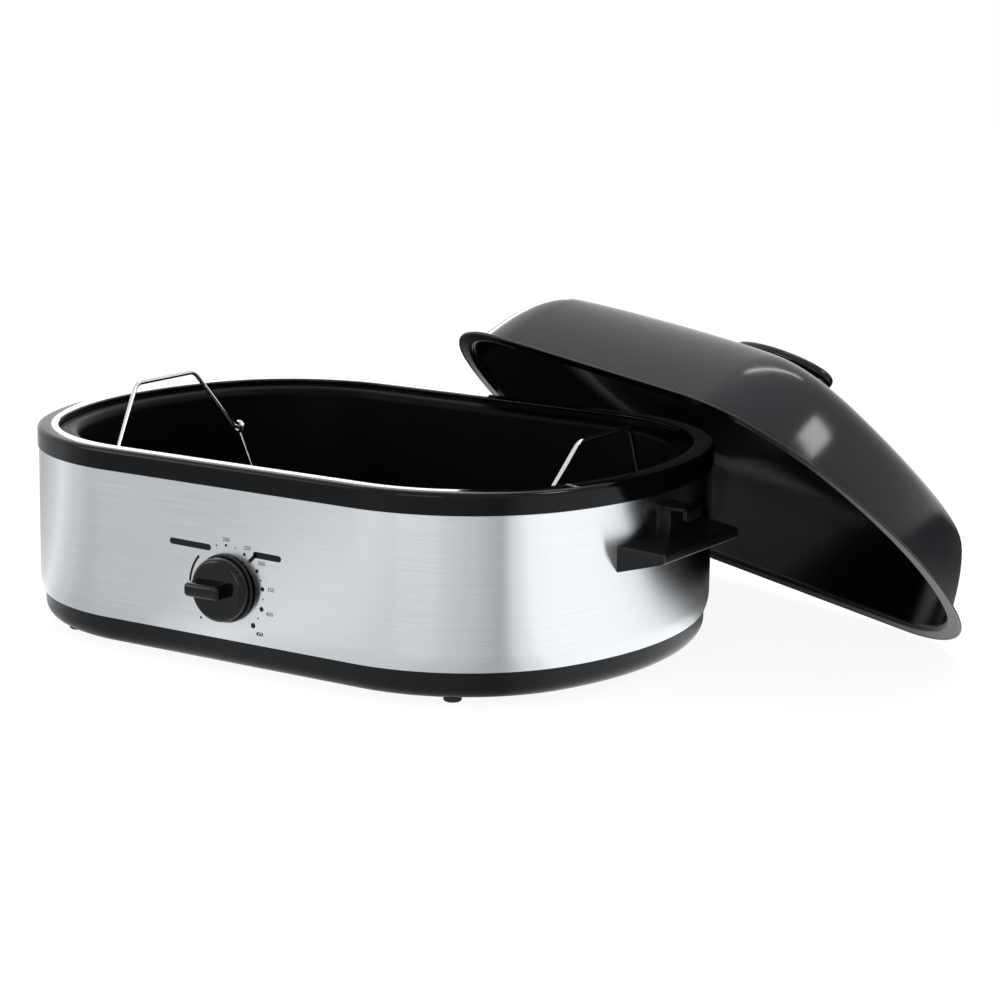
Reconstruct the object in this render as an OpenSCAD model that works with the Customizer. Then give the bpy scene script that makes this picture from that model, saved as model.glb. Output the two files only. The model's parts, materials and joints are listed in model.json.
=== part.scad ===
// Electric roaster oven: steel wrap on a black base, a heating well with a lift-out
// cooking pan and wire rack, a front thermostat knob, and a loose domed lid that leans
// on the rear rim. Millimetres, +Z up, origin on the floor under the middle of the body.

/* [Body outline] */
// Length over the top rim
body_len = 560; // [540:1:580]
// Width over the top rim
body_wid = 401; // [390:1:410]
// Distance between the centres of a bowed end and of a plan corner, in steps of 13
bow = 130; // [117:13:143]

/* [Body heights] */
// Height of the rubber feet
foot_h = 5; // [4:0.5:7]
// Height of the black base
base_h = 22; // [20:1:26]
// Height of the steel band
band_h = 120; // [115:1:125]
// Height of the black top rim
rim_h = 17; // [16:0.5:19]

/* [Steel band] */
// Sheet thickness of the steel band
band_t = 0.8; // [0.6:0.1:1.2]
// How far the band stands inside the rim's outline
band_in = 1; // [0.8:0.1:1.4]

/* [Top rim] */
// Width of the flat top of the rim
rim_w = 17.5; // [16:0.5:19]
// Wall thickness of the rim
rim_t = 2.4; // [2:0.1:3]
// Drop from the rim's top to the pan's lip
lip_drop = 5; // [4:0.5:7]

/* [Cooking pan] */
// Sheet thickness of the pan
pan_t = 1.2; // [1:0.1:1.6]
// Inset of the pan's inner wall at the lip
pan_in = 34; // [33:0.5:35]
// Extra inset of the pan's wall at its floor
pan_draft = 6; // [4:0.5:8]
// Height of the pan's floor above the ground
pan_floor_z = 30; // [28:1:34]
// Radius where the pan's wall meets its floor
pan_r = 20; // [14:1:24]

/* [Heating well] */
// Sheet thickness of the well
well_t = 1; // [0.8:0.1:1.4]
// Inset of the well's inner wall at its top
well_in = 26; // [25.5:0.25:27]
// Height of the well's floor above the ground
well_floor_z = 19; // [17:0.5:20]

/* [Knob] */
// Sideways place of the knob's axis
knob_x = 2; // [-10:1:10]
// Height of the knob's axis
knob_z = 69; // [66:1:72]
// Radius of the knob's disc
knob_r = 25; // [24:0.5:27]
// Thickness of the knob's disc
knob_disc_t = 12; // [10:0.5:14]
// How far the grip bar stands off the disc
knob_bar_h = 10.5; // [8:0.5:14]
// Radius of the control shaft
shaft_r = 3; // [2.5:0.25:3.5]

/* [Side handles] */
// Width of a side handle at its outer edge
handle_w = 120; // [110:1:130]
// Reach of a side handle beyond the rim
handle_reach = 28; // [24:1:32]
// Height of the handle's upper face at the band
handle_top_z = 115; // [112:1:117]
// Width of the lid-rest hook
hook_w = 26; // [22:1:30]
// Height of the top of the lid-rest hook
hook_z = 137; // [134:1:139]

/* [Lid] */
// Inset of the lid's flange from the rim's outline
lid_in = 28; // [27.5:0.5:28.5]
// Width of the lid's flat flange
flange_w = 14; // [13:0.5:15]
// Height of the dome above the flange
dome_h = 92; // [90:1:94]
// How much lower the crown is at the dome's two ends than in its middle
crown_fall = 35; // [33:0.5:37]
// Sheet thickness of the lid
lid_t = 1.2; // [1:0.1:1.6]
// Half length of the lid's handle
grip_l = 59; // [54:1:64]
// Half width of the lid's handle
grip_w = 25.5; // [24:0.5:30]
// Height of the handle's top above the flange
grip_top = 128; // [126:1:131]

/* [Lid at rest] */
// Slope of the leaning lid
lid_tilt = 40.8; // [40.7:0.1:40.9]
// Turn of the leaning lid seen from above
lid_turn = 24.6; // [24.5:0.1:24.8]
// Turn of the lid in the plane of its own flange
lid_spin = 4.9; // [4.8:0.1:5]
// Sideways place of the middle of the lid's flange
lid_x = 222.6; // [222.5:0.1:223]
// Depth of the middle of the lid's flange
lid_y = 153.4; // [153.4:0.1:155]

/* [Rack] */
// Radius of the rack's heavy wire
wire_r = 1.9; // [1.5:0.1:2.4]
// Height of the bails' hinge line
bail_z = 130; // [124:1:134]
// Half distance between the bails' hinge lines
bail_x = 207; // [200:1:208]
// Half width of a bail at its hinges
bail_foot_y = 81; // [76:1:83]
// Half width of a bail's top bar
bail_top_y = 39; // [34:1:44]
// Height of a bail's top bar
bail_top_z = 184; // [178:1:186]
// How far the top bar leans outwards
bail_lean = 12; // [10:1:16]

/* [Hidden] */
$fn = 64;

half_len = body_len / 2;
half_wid = body_wid / 2;
// The line through the two centres rises 5 for every 12, so every place comes out even
corner_y = bow * 5 / 13;
corner_r = half_wid - corner_y;
end_r = corner_r + bow;
end_x = half_len - end_r;
corner_x = end_x + bow * 12 / 13;

band_z0 = foot_h + base_h;
band_z1 = band_z0 + band_h;
rim_z = band_z1 + rim_h;
lip_z = rim_z - lip_drop;
front_y = -(half_wid - band_in);
inner_y = front_y + band_t;

black_gloss = "#17181a";
black_matte = "#242528";
steel = "#c9cccf";
zinc = "#a9acae";
enamel = "#1c1d1f";
chrome = "#d8dadc";

// Points of an arc from angle a0 to a1, n steps
function arc_pts(cx, cy, r, a0, a1, n = 6) =
  [for (k = [0 : n]) [cx + r * cos(a0 + (a1 - a0) * k / n), cy + r * sin(a0 + (a1 - a0) * k / n)]];

// Keeps the part of its child that belongs to a bowed end, seen from the end's centre
module end_share() {
  intersection() {
    children();
    translate([0, 0, -10]) linear_extrude(400) polygon([[0, 0], [480, -200], [480, 200]]);
  }
}

// Keeps the part of its child that belongs to a plan corner, seen from the corner's centre
module corner_share() {
  intersection() {
    children();
    translate([0, 0, -10]) linear_extrude(400) polygon([[0, 0], [480, 200], [480, 500], [0, 500]]);
  }
}

// A profile carried once round the body's outline. Its X is minus the inset, its Y the height.
module ring() {
  for (side = [0, 180]) rotate([0, 0, side]) {
    translate([end_x, 0, 0]) end_share() rotate_extrude($fn = 128)
      translate([end_r, 0]) children();
    for (up = [0, 1]) mirror([0, up, 0]) translate([corner_x, corner_y, 0]) corner_share()
      rotate_extrude($fn = 96) translate([corner_r, 0]) children();
    translate([-corner_x, half_wid, 0]) rotate([90, 0, 90])
      linear_extrude(2 * corner_x) children();
  }
}

// A solid plate of the body's outline drawn in by inset
module slab(inset, z0, z1) {
  translate([-corner_x, -(half_wid - inset), z0])
    cube([2 * corner_x, 2 * (half_wid - inset), z1 - z0]);
  for (side = [0, 180]) rotate([0, 0, side]) {
    translate([end_x, 0, 0]) end_share() translate([0, 0, z0])
      cylinder(r = end_r - inset, h = z1 - z0, $fn = 480);
    for (up = [0, 1]) mirror([0, up, 0]) translate([corner_x, corner_y, 0]) corner_share()
      translate([0, 0, z0]) cylinder(r = corner_r - inset, h = z1 - z0, $fn = 240);
  }
}

// A rod between two points, with round ends if ball is true
module rod(a, b, r, ball = true) {
  d = b - a;
  len = norm(d);
  tilt = acos(d[2] / len);
  turn = atan2(d[1], d[0]);
  translate(a) rotate([0, tilt, turn]) cylinder(r = r, h = len, $fn = 24);
  if (ball) translate(b) sphere(r = 1.02 * r, $fn = 24);
}

module wire(points, r) {
  translate(points[0]) sphere(r = 1.02 * r, $fn = 24);
  for (k = [0 : len(points) - 2]) rod(points[k], points[k + 1], r);
}

// The four corners of a rectangle, as places for feet, posts and screws
function corners(x, y) = [for (sx = [-1, 1]) for (sy = [-1, 1]) [sx * x, sy * y]];

band_foot = 3.8;      // inset of the band's curled lower edge
base_in = 5;          // inset of the base's wall
base_t = 2.5;         // base wall thickness
base_r = 13;          // rounding under the base
flange_in = 42;       // inset of the base flange's inner edge
plate_z = foot_h + base_t;
plate_t = 1;
foot_x = 184;
foot_y = 158;
foot_r = 7;
ledge_z = lip_z - pan_t - 0.2;
ledge_in = 26.5;
ledge_t = 2.2;
well_top = ledge_z - ledge_t - 0.2;
well_foot = 31;       // inset of the well's wall at its floor
well_r = 16;          // rounding between the well's wall and floor
bush_r = 4.8;         // threaded bush of the thermostat
gland_x = -90;
gland_z = 46;
gland_bore = 3.6;
grip_screw_y = 45;
grip_screw_z = 104;
out_x = half_len + handle_reach;
knob_back = front_y - 1.7;
rack_z = 42;
rack_x = 198;
rack_y = 104;
rack_r = 50;
thin_r = 1.4;
eye_y = bail_foot_y + 6;
eye_r = 4.1;
dome_run = half_wid - lid_in - flange_w;
dome_flat = 100;      // run after which the crown is level
lid_z = (corner_x * sin(lid_spin) + corner_y * cos(lid_spin) + corner_r - lid_in) * sin(lid_tilt) + 0.3;
crown_z = dome_h - 0.6;                   // middle of the crown's inner face
crown_r = pow(half_len - lid_in - flange_w, 2) / (2 * crown_fall);
post_x = 34;
cap_t = 8;

// Height of the dome at a distance d in from the flange: a sloping wall and a flat crown
function dome_z(d) = dome_h * pow(1 - pow(1 - d / dome_run, 6), 1 / 1.1);

// A cylinder along Y from y0 to y1
module pin_y(x, z, y0, y1, r) {
  translate([x, y1, z]) rotate([90, 0, 0]) cylinder(r = r, h = y1 - y0, $fn = 40);
}

// A cylinder along X from x0 to x1
module pin_x(y, z, x0, x1, r) {
  translate([x0, y, z]) rotate([0, 90, 0]) cylinder(r = r, h = x1 - x0, $fn = 40);
}

module steel_band() {
  curl = [[0, 14], [0.3, 10], [0.9, 6.5], [1.8, 3], [band_foot - band_in, 0]];
  color(steel) difference() {
    ring() polygon(concat(
      [[-band_in, band_z1]],
      [for (p = curl) [-band_in - p[0], band_z0 + p[1]]],
      [for (k = [4 : -1 : 0]) [-band_in - band_t - curl[k][0], band_z0 + curl[k][1]]],
      [[-band_in - band_t, band_z1]]));
    pin_y(knob_x, knob_z, front_y - 2, front_y + 4, bush_r + 0.3);
    for (sx = [-1, 1]) pin_y(knob_x + sx * 14, knob_z, front_y - 2, front_y + 4, 1.7);
    for (side = [-1, 1]) for (sy = [-1, 1])
      pin_x(sy * grip_screw_y, grip_screw_z, side * half_len - 12, side * half_len + 12, 1.7);
    pin_y(gland_x, gland_z, half_wid - 6, half_wid + 4, 6.1);
  }
}

module top_rim() {
  color(black_gloss) ring() polygon(concat(
    [[0, band_z1]],
    arc_pts(-3.5, rim_z - 3.5, 3.5, 0, 90),
    [[-rim_w + 0.8, rim_z], [-rim_w, rim_z - 0.8], [-rim_w, ledge_z], [-ledge_in, ledge_z],
     [-ledge_in, ledge_z - ledge_t], [-rim_w + rim_t, ledge_z - ledge_t],
     [-rim_w + rim_t, rim_z - rim_t], [-4.2, rim_z - rim_t], [-4.2, band_z1 - 3.5],
     [-2.2, band_z1 - 3.5], [-2.2, band_z1]]));
}

module base_skirt() {
  mid = base_in + base_r;
  color(black_matte) difference() {
    ring() polygon(concat(
      [[-base_in, band_z0]],
      arc_pts(-mid, foot_h + base_r, base_r, 0, -90),
      [[-flange_in, foot_h], [-flange_in, plate_z]],
      arc_pts(-mid, foot_h + base_r, base_r - base_t, -90, 0),
      [[-base_in - base_t, band_z0 + 4], [-base_in - 0.4, band_z0 + 4],
       [-base_in - 0.4, band_z0]]));
    for (p = corners(foot_x, foot_y)) translate([p[0], p[1], foot_h - 1])
      cylinder(r = 1.8, h = base_t + 2);
  }
}

module bottom_plate() {
  color(zinc) difference() {
    slab(22, plate_z, plate_z + plate_t);
    for (p = corners(foot_x, foot_y)) translate([p[0], p[1], plate_z - 1])
      cylinder(r = 1.8, h = plate_t + 2);
    for (p = corners(120, 80)) translate([p[0], p[1], plate_z - 1])
      cylinder(r = 1.8, h = plate_t + 2);
    for (row = [-1, 1]) for (k = [-4 : 4])
      translate([k * 18 - 2, row * 30 - 16, plate_z - 1]) cube([4, 32, plate_t + 2]);
  }
}

module rubber_feet() {
  color("#1b1b1c") for (p = corners(foot_x, foot_y)) translate([p[0], p[1], 0])
    difference() {
      rotate_extrude() polygon([[0, 0], [foot_r - 1, 0], [foot_r, 1], [foot_r, foot_h], [0, foot_h]]);
      translate([0, 0, -1]) cylinder(r = 3.6, h = 3.5);
      cylinder(r = 1.8, h = foot_h + 1);
    }
}

module foot_screws() {
  color(zinc) for (p = corners(foot_x, foot_y)) translate([p[0], p[1], 0]) {
    translate([0, 0, 1]) cylinder(r = 3.2, h = 1.5);
    translate([0, 0, 2]) cylinder(r = 1.6, h = plate_z + 4 - 2);
    translate([0, 0, plate_z + plate_t]) cylinder(r = 3.2, h = 2.4, $fn = 6);
  }
}

module heating_well() {
  mid = well_foot + well_r;
  out_r = well_r + well_t;
  color(zinc) {
    ring() polygon(concat(
      [[-rim_w - 1, well_top], [-well_in, well_top]],
      arc_pts(-mid, well_floor_z + well_r, well_r, 0, -90),
      arc_pts(-mid, well_floor_z + well_r, out_r, -90, 0),
      [[-well_in + well_t, well_top - well_t], [-rim_w - 1, well_top - well_t]]));
    slab(mid, well_floor_z - well_t, well_floor_z);
  }
}

module well_posts() {
  top = well_floor_z - well_t;
  color(zinc) for (p = corners(120, 80)) translate([p[0], p[1], 0]) {
    translate([0, 0, plate_z + plate_t]) cylinder(r = 5, h = top - plate_z - plate_t);
    translate([0, 0, plate_z - 1.5]) cylinder(r = 1.6, h = 4);
    translate([0, 0, plate_z - 2]) cylinder(r = 3, h = 1.6);
  }
}

// Outer inset of the well's wall at height z
function well_out(z) = well_in - well_t
  + (well_foot - well_in) * (well_top - z) / (well_top - well_floor_z - well_r);

module band_heater() {
  z0 = 58;
  z1 = 98;
  color("#8d8a80") difference() {
    ring() polygon([[-well_out(z1) + 0.6, z1], [-well_out(z1) + 2.4, z1],
      [-well_out(z0) + 2.4, z0], [-well_out(z0) + 0.6, z0]]);
    translate([-8, 0, z0 - 1]) cube([16, half_wid, z1 - z0 + 2]);
  }
}

module heater_terminals() {
  color("#d9d5c8") for (sx = [-1, 1]) difference() {
    translate([sx * 16 - 5, half_wid - 24, 70]) cube([10, 7, 16]);
    pin_y(sx * 16, 78, half_wid - 25, half_wid - 16, 1.5);
  }
}

module insulation_blanket() {
  color("#d8cf9a") difference() {
    ring() polygon([[-7, 36], [-7, 139], [-20, 139], [-20, 36]]);
    translate([knob_x - 34, -half_wid, 30]) cube([68, 30, 115]);
    translate([gland_x - 28, half_wid - 30, 30]) cube([56, 30, 40]);
    translate([-26, half_wid - 30, 60]) cube([52, 30, 40]);
    for (side = [-1, 1]) for (sy = [-1, 1])
      pin_x(sy * grip_screw_y, grip_screw_z, side * half_len - 22, side * half_len + 8, 5);
  }
}

module thermostat_bracket() {
  color(zinc) difference() {
    translate([knob_x - 24, inner_y + 0.1, knob_z - 14]) cube([48, 1.5, 28]);
    pin_y(knob_x, knob_z, inner_y - 1, inner_y + 3, bush_r + 0.05);
    for (sx = [-1, 1]) pin_y(knob_x + sx * 14, knob_z, inner_y - 1, inner_y + 3, 1.7);
  }
}

module thermostat() {
  back = inner_y + 1.6;
  color("#6f6a5c") difference() {
    union() {
      translate([knob_x - 17, back, knob_z - 15]) cube([34, 18, 30]);
      pin_y(knob_x, knob_z, front_y - 1.2, back + 1, bush_r);
    }
    pin_y(knob_x, knob_z, front_y - 3, back + 14, shaft_r + 0.05);
    for (sx = [-1, 1]) pin_y(knob_x + sx * 14, knob_z, back - 1, back + 8, 1.7);
  }
}

module thermostat_screws() {
  color(zinc) for (sx = [-1, 1]) {
    pin_y(knob_x + sx * 14, knob_z, front_y - 1.3, front_y, 3);
    pin_y(knob_x + sx * 14, knob_z, front_y - 0.5, front_y + 8, 1.5);
  }
}

module sensing_bulb() {
  bulb_y = -half_wid + 23.1;
  color("#b98352") {
    translate([knob_x + 10, bulb_y - 2.8, knob_z + 15.05]) cylinder(r = 1, h = 28, $fn = 24);
    pin_x(bulb_y, 112, knob_x - 22, knob_x + 22, 2.6);
  }
}

module thermal_fuse() {
  fuse_y = -half_wid + 23.3;
  color("#cfcabb") {
    rod([-90, fuse_y, 112], [-74, fuse_y, 112], 2.4);
    wire([[-74, fuse_y, 112], [-56, fuse_y, 112], [-50, fuse_y, 106]], 0.9);
  }
}

module terminal_block() {
  color("#d9d5c8") difference() {
    translate([gland_x - 15, half_wid - 28, plate_z + plate_t]) cube([30, 14, 18]);
    for (k = [-1, 1]) translate([gland_x + k * 8, half_wid - 21, plate_z + 8])
      cylinder(r = 2, h = 14);
  }
}

// Two insulated leads that run under the well from the cord's terminals to the thermostat
module internal_wires() {
  under = plate_z + plate_t + 2.6;
  turn_y = -183;
  color("#b7b2a4") for (sx = [-1, 1]) translate([knob_x + sx * 10, turn_y, 0]) {
    translate([0, 0, under]) cylinder(r = 1.5, h = knob_z - 15.1 - under, $fn = 24);
    translate([0, 0, under]) sphere(r = 1.7, $fn = 24);
    rod([0, 0, under], [gland_x - knob_x - sx * 2, half_wid - 28.6 - turn_y, under], 1.5, false);
  }
}

module cord_gland() {
  wall = half_wid - band_in;
  color(black_matte) difference() {
    union() {
      pin_y(gland_x, gland_z, wall + 0.03, wall + 2.5, 9);
      pin_y(gland_x, gland_z, wall - 5, wall + 1, 6);
      pin_y(gland_x, gland_z, wall - 5, wall - band_t - 0.1, 7.6);
    }
    pin_y(gland_x, gland_z, wall - 8, wall + 5, gland_bore);
  }
}

// The right handle: a wedge-shaped grip with a finger pocket, and a hook for the lid
module side_handle() {
  inner = half_len - 25;
  tip_y = handle_w / 2;
  root_y = tip_y + 7;
  difference() {
    union() {
      intersection() {
        translate([0, 100, 0]) rotate([90, 0, 0]) linear_extrude(200)
          polygon([[inner, handle_top_z + 1], [out_x - 2, handle_top_z - 4],
            [out_x, handle_top_z - 6], [out_x, handle_top_z - 11],
            [out_x - 2, handle_top_z - 12.8], [inner + 18, handle_top_z - 22],
            [inner, handle_top_z - 22]]);
        linear_extrude(200) polygon([[inner, -root_y], [half_len - 8, -root_y],
          [out_x - 5, -tip_y - 1], [out_x, -tip_y + 4], [out_x, tip_y - 4],
          [out_x - 5, tip_y + 1], [half_len - 8, root_y], [inner, root_y]]);
      }
      translate([inner, -hook_w / 2 + 2, handle_top_z - 4])
        cube([half_len + 4 - inner, hook_w - 4, hook_z - handle_top_z + 2]);
      translate([inner, -hook_w / 2, hook_z - 3]) cube([half_len + 20 - inner, hook_w, 3]);
      translate([half_len + 17, -hook_w / 2, hook_z - 10]) cube([3, hook_w, 10]);
    }
    slab(band_in - 0.03, handle_top_z - 40, hook_z + 10);
    translate([0, tip_y - 8, 0]) rotate([90, 0, 0]) linear_extrude(2 * tip_y - 16)
      polygon([[half_len + 3, handle_top_z - 40], [out_x - 4, handle_top_z - 40],
        [out_x - 4, handle_top_z - 7.5], [half_len + 3, handle_top_z - 5]]);
    for (sy = [-1, 1])
      pin_x(sy * grip_screw_y, grip_screw_z, half_len - 15, half_len + 2, 1.7);
  }
}

module right_handle() {
  color(black_matte) side_handle();
}

module left_handle() {
  color(black_matte) mirror([1, 0, 0]) side_handle();
}

module handle_screws() {
  color(zinc) for (side = [0, 1]) mirror([side, 0, 0]) for (sy = [-1, 1]) {
    pin_x(sy * grip_screw_y, grip_screw_z, half_len - 8.6, half_len - 6.6, 3.4);
    pin_x(sy * grip_screw_y, grip_screw_z, half_len - 8, half_len + 1.5, 1.5);
  }
}

module knob_dial() {
  front = -knob_back;
  color(black_gloss) {
    translate([knob_x, 0, knob_z]) rotate([90, 0, 0]) difference() {
      union() {
        translate([0, 0, front]) rotate_extrude($fn = 96) polygon(concat(
          [[0, 0], [knob_r + 1.8, 0], [knob_r + 1.8, 1.4], [knob_r, 2.4]],
          arc_pts(knob_r - 3, knob_disc_t - 3, 3, 0, 90),
          [[0, knob_disc_t]]));
        translate([-24, -5.5, front + knob_disc_t - 1]) cube([33, 11, knob_bar_h - 1]);
        translate([-22.5, -4, front + knob_disc_t - 1]) cube([30, 8, knob_bar_h + 1]);
      }
      translate([0, 0, front - 1]) cylinder(r = shaft_r + 0.02, h = 11);
    }
  }
}

module control_shaft() {
  color(zinc) pin_y(knob_x, knob_z, knob_back - 9.5, inner_y + 14, shaft_r);
}

module cooking_pan() {
  wall_top = lip_z - 7;
  lip_mid = pan_in - 7;
  foot_in = pan_in + pan_draft;
  mid = foot_in + pan_r;
  color(enamel) {
    ring() polygon(concat(
      [[-rim_w - 0.8, lip_z]],
      arc_pts(-lip_mid, wall_top, 7, 90, 180),
      arc_pts(-mid, pan_floor_z + pan_r, pan_r, 0, -90),
      arc_pts(-mid, pan_floor_z + pan_r, pan_r + pan_t, -90, 0),
      arc_pts(-lip_mid, wall_top, 7 - pan_t, 180, 90),
      [[-rim_w - 0.8, lip_z - pan_t]]));
    slab(mid, pan_floor_z - pan_t, pan_floor_z);
  }
}

// A rounded rectangle of wire, lying level
module wire_loop(x, y, corner, z, r) {
  for (turn = [0, 180]) rotate([0, 0, turn]) {
    rod([-x + corner, y, z], [x - corner, y, z], r, false);
    rod([x, -y + corner, z], [x, y - corner, z], r, false);
    for (up = [0, 1]) mirror([0, up, 0]) translate([x - corner, y - corner, z])
      rotate_extrude(angle = 90) translate([corner, 0]) circle(r = r, $fn = 24);
  }
}

module rack_grid() {
  color(chrome) {
    wire_loop(rack_x, rack_y, rack_r, rack_z, wire_r);
    for (k = [-7 : 7])
      rod([k * 20, -rack_y, rack_z - 1.6], [k * 20, rack_y, rack_z - 1.6], thin_r, false);
    for (y = [-40, 40]) rod([-rack_x, y, rack_z + 1.6], [rack_x, y, rack_z + 1.6], thin_r, false);
    for (p = corners(150, rack_y)) wire([[p[0] - 8, p[1], rack_z],
      [p[0], p[1], pan_floor_z + wire_r + 0.2], [p[0] + 8, p[1], rack_z]], wire_r);
  }
}

module rack_uprights() {
  color(chrome) for (side = [0, 1]) mirror([side, 0, 0]) for (up = [0, 1]) mirror([0, up, 0]) {
    foot = [rack_x - rack_r + rack_r * cos(54.5), rack_y - rack_r + rack_r * sin(54.5),
      rack_z + 2 * wire_r];
    translate(foot) sphere(r = wire_r - 0.2, $fn = 24);
    rod(foot, [bail_x, eye_y, bail_z - eye_r], wire_r - 0.2);
    translate([bail_x, eye_y, bail_z]) rotate([90, 0, 0]) rotate_extrude($fn = 32)
      translate([eye_r, 0]) circle(r = wire_r, $fn = 24);
  }
}

module bail() {
  color(chrome) {
    wire([[bail_x, -eye_y - 5, bail_z], [bail_x, -bail_foot_y, bail_z],
      [bail_x + bail_lean, -bail_top_y, bail_top_z], [bail_x + bail_lean, bail_top_y, bail_top_z],
      [bail_x, bail_foot_y, bail_z], [bail_x, eye_y + 5, bail_z]], wire_r);
  }
}

module rack_bail_right() {
  bail();
}

module rack_bail_left() {
  mirror([1, 0, 0]) bail();
}

// Puts the lid, drawn flat with its flange at height 0, where it leans
module leaning() {
  translate([lid_x, lid_y, lid_z]) rotate([0, 0, -lid_turn]) rotate([-lid_tilt, 0, 0])
    rotate([0, 0, lid_spin]) children();
}

// The long barrel under which the lid's crown lies, sheet above the crown's inner face
module crown_barrel(sheet) {
  translate([0, 0, crown_z - crown_r]) rotate([90, 0, 0])
    cylinder(r = crown_r + sheet, h = 2 * half_wid, center = true, $fn = 1440);
}

// Everything under the dome's inner face (sheet = 0) or its outer face, down to z0
module dome_form(sheet, z0) {
  runs = [0, 0.4, 1.2, 2.5, 4.5, 7.5, 12, 18, 26, 37, 52, 72, dome_flat];
  edge = lid_in + flange_w - sheet;
  intersection() {
    union() {
      ring() polygon(concat(
        [[-edge, z0]],
        [for (d = runs) [-edge - d, sheet + dome_z(d)]],
        [[-edge - dome_flat, z0]]));
      slab(edge + dome_flat, z0, sheet + dome_z(dome_flat));
    }
    crown_barrel(sheet);
  }
}

module lid_shell() {
  color("#3d4043") leaning() difference() {
    union() {
      ring() polygon([[-lid_in, 0], [-lid_in, lid_t], [-lid_in - flange_w - 6, lid_t],
        [-lid_in - flange_w - 6, 0]]);
      dome_form(lid_t, 0);
    }
    dome_form(0, -1);
    for (sx = [-1, 1]) translate([sx * post_x, 0, crown_z - 5]) cylinder(r = 2.2, h = 10);
  }
}

// The oval of the lid's handle, drawn in by inset
module oval(inset) {
  polygon([for (k = [0 : 71]) [(grip_l - inset) * cos(5 * k), (grip_w - inset) * sin(5 * k)]]);
}

module lid_handle() {
  low = grip_top - cap_t;
  color(black_gloss) leaning() {
    translate([0, 0, low]) linear_extrude(1.5) oval(1.2);
    translate([0, 0, low + 1.5]) linear_extrude(3.5) oval(0);
    translate([0, 0, low + 5]) linear_extrude(1.8) oval(1.4);
    translate([0, 0, low + 6.8]) linear_extrude(1.2) oval(4.5);
  }
}

module lid_handle_posts() {
  color(black_gloss) leaning() difference() {
    for (sx = [-1, 1]) translate([sx * post_x, 0, crown_z - 2])
      cylinder(r = 9, h = grip_top - cap_t - crown_z + 2);
    crown_barrel(lid_t + 0.05);
    for (sx = [-1, 1]) translate([sx * post_x, 0, crown_z - 3]) cylinder(r = 2.2, h = 20);
  }
}

module lid_handle_screws() {
  head_z = crown_z - 3.4;
  color(zinc) leaning() for (sx = [-1, 1]) translate([sx * post_x, 0, 0]) {
    translate([0, 0, head_z]) cylinder(r = 5, h = 2.5);
    translate([0, 0, head_z + 1.5]) cylinder(r = 2, h = 17);
  }
}

steel_band();
top_rim();
base_skirt();
bottom_plate();
rubber_feet();
foot_screws();
heating_well();
well_posts();
band_heater();
heater_terminals();
insulation_blanket();
thermostat();
thermostat_bracket();
thermostat_screws();
sensing_bulb();
thermal_fuse();
terminal_block();
internal_wires();
cord_gland();
left_handle();
right_handle();
handle_screws();
knob_dial();
control_shaft();
cooking_pan();
rack_grid();
rack_uprights();
rack_bail_left();
rack_bail_right();
lid_shell();
lid_handle();
lid_handle_posts();
lid_handle_screws();
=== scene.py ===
import json
import bpy
import numpy as np
from mathutils import Matrix


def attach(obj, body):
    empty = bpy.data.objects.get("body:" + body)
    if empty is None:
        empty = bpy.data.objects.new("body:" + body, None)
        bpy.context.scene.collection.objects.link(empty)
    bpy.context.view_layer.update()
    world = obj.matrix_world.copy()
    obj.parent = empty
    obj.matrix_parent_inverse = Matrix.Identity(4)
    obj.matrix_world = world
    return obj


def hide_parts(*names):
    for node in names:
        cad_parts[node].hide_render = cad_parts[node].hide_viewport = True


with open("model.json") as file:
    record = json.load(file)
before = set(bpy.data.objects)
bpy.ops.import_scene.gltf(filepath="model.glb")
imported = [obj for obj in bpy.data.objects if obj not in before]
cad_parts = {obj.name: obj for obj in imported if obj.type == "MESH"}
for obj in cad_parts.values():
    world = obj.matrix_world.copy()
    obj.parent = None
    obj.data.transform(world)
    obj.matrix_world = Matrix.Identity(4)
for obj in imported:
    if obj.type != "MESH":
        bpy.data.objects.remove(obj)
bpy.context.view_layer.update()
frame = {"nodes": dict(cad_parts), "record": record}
print("frame loaded:", len(frame["nodes"]), "nodes")

mm = 0.001

# the body's plan: two bowed ends, four corners and two straight sides, all of them tangent
oven = {
    "halfLength": 280 * mm,
    "halfWidth": 200.5 * mm,
    "bow": 130 * mm,            # between the centres of an end and a corner, on a 5:12:13 slope
    "bandBottom": 27 * mm,
    "bandTop": 147 * mm,
    "rimTop": 164 * mm,
    "lipTop": 159 * mm,
    "drawLong": 0.62,           # how much the length shrinks while the width is drawn in to nothing
}
cornerY = oven["bow"] * 5 / 13
cornerRadius = oven["halfWidth"] - cornerY
endRadius = cornerRadius + oven["bow"]
endX = oven["halfLength"] - endRadius
cornerX = endX + oven["bow"] * 12 / 13
cornerAngle = np.arctan2(5, 12)


# The body's outline anticlockwise, with its outward normals: each arc is its centre plus radius times the
# normal, and each side runs straight from one corner's centre to the next.
def ovenPlan(endSteps=72, cornerSteps=48, sideSteps=40):
    def bend(cx, cy, radius, start, end, steps):
        turn = np.linspace(start, end, steps, endpoint=False)
        normal = np.c_[np.cos(turn), np.sin(turn)]
        return np.c_[cx + radius * normal[:, 0], cy + radius * normal[:, 1], normal]

    quarter = np.pi / 2
    right = [
        bend(endX, 0, endRadius, -cornerAngle, cornerAngle, endSteps),
        bend(cornerX, cornerY, cornerRadius, cornerAngle, quarter, cornerSteps),
    ]
    x = np.linspace(cornerX, -cornerX, sideSteps, endpoint=False)
    side = np.c_[x, np.full_like(x, oven["halfWidth"]), np.zeros_like(x), np.ones_like(x)]
    left = bend(-cornerX, cornerY, cornerRadius, quarter, np.pi - cornerAngle, cornerSteps)
    upper = np.vstack([*right, side, left])
    return np.vstack([upper, -upper])      # the other half is this one turned half round


plan = ovenPlan()


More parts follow.
